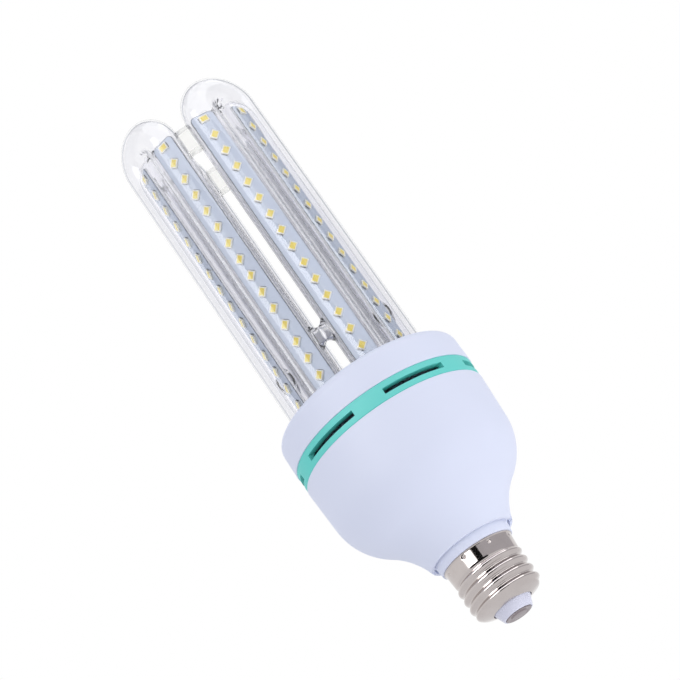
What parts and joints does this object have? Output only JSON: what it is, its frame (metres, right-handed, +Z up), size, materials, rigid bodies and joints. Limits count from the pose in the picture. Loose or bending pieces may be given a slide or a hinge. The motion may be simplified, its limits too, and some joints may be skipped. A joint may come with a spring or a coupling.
{
  "type": "corn led bulb",
  "caption": "Tubular LED lamp: clear U tubes with light strips inside, a white flared housing with a green vent ring and a screw cap.",
  "frame": {"origin": "middle of the flat tip contact, the lowest face of the lamp", "axes": "+Z up the lamp's axis from the screw cap to the tube bends; the gap between two U tubes with a bridge across it faces -Y"},
  "size_m": [0.0734, 0.0734, 0.2272],
  "materials": {
    "contact_metal": "tinned brass, satin",
    "nickel_plate": "bright nickel plated brass",
    "white_insulator": "moulded white, smooth",
    "white_plastic": "moulded white, satin gloss",
    "green_plastic": "moulded sea green, satin gloss",
    "clear_glass": "clear drawn tube",
    "clear_silicone": "clear silicone, cast in place",
    "silicone": "white silicone",
    "strip_aluminium": "aluminium core board, pale solder mask",
    "led_package": "white moulded frame",
    "led_phosphor": "yellow phosphor in silicone",
    "circuit_board": "green glass-fibre board",
    "capacitor_sleeve": "shrink sleeve on an aluminium can",
    "ferrite": "sintered ferrite",
    "winding_tape": "yellow polyester tape",
    "film_resin": "dipped resin",
    "black_epoxy": "moulded epoxy",
    "resistor_body": "coated ceramic",
    "wire_black": "insulated wire",
    "wire_red": "insulated wire",
    "wire_white": "insulated wire"
  },
  "bodies": {
    "root": {"centre_contact": "contact_metal", "tip_insulator": "white_insulator", "screw_shell": "nickel_plate", "cap_holder": "white_plastic", "lower_housing": "white_plastic", "vent_ring": "green_plastic", "top_cover": "white_plastic", "glass_tubes": "clear_glass", "tube_bonds": "clear_silicone", "tube_seals": "silicone", "driver_board": "circuit_board", "smoothing_capacitor": "capacitor_sleeve", "transformer_core": "ferrite", "transformer_coil": "winding_tape", "film_capacitor": "film_resin", "choke": "ferrite", "bridge_rectifier": "black_epoxy", "driver_chip": "black_epoxy", "fuse_resistor": "resistor_body", "live_wire": "wire_black", "neutral_wire": "wire_red", "feed_wires": "wire_red", "strip_jumpers": "wire_white", "led_strip_1": "strip_aluminium", "led_bodies_1": "led_package", "led_phosphors_1": "led_phosphor", "led_strip_2": "strip_aluminium", "led_bodies_2": "led_package", "led_phosphors_2": "led_phosphor", "led_strip_3": "strip_aluminium", "led_bodies_3": "led_package", "led_phosphors_3": "led_phosphor", "led_strip_4": "strip_aluminium", "led_bodies_4": "led_package", "led_phosphors_4": "led_phosphor", "led_strip_5": "strip_aluminium", "led_bodies_5": "led_package", "led_phosphors_5": "led_phosphor", "led_strip_6": "strip_aluminium", "led_bodies_6": "led_package", "led_phosphors_6": "led_phosphor", "led_strip_7": "strip_aluminium", "led_bodies_7": "led_package", "led_phosphors_7": "led_phosphor", "led_strip_8": "strip_aluminium", "led_bodies_8": "led_package", "led_phosphors_8": "led_phosphor"}
  },
  "joints": []
}
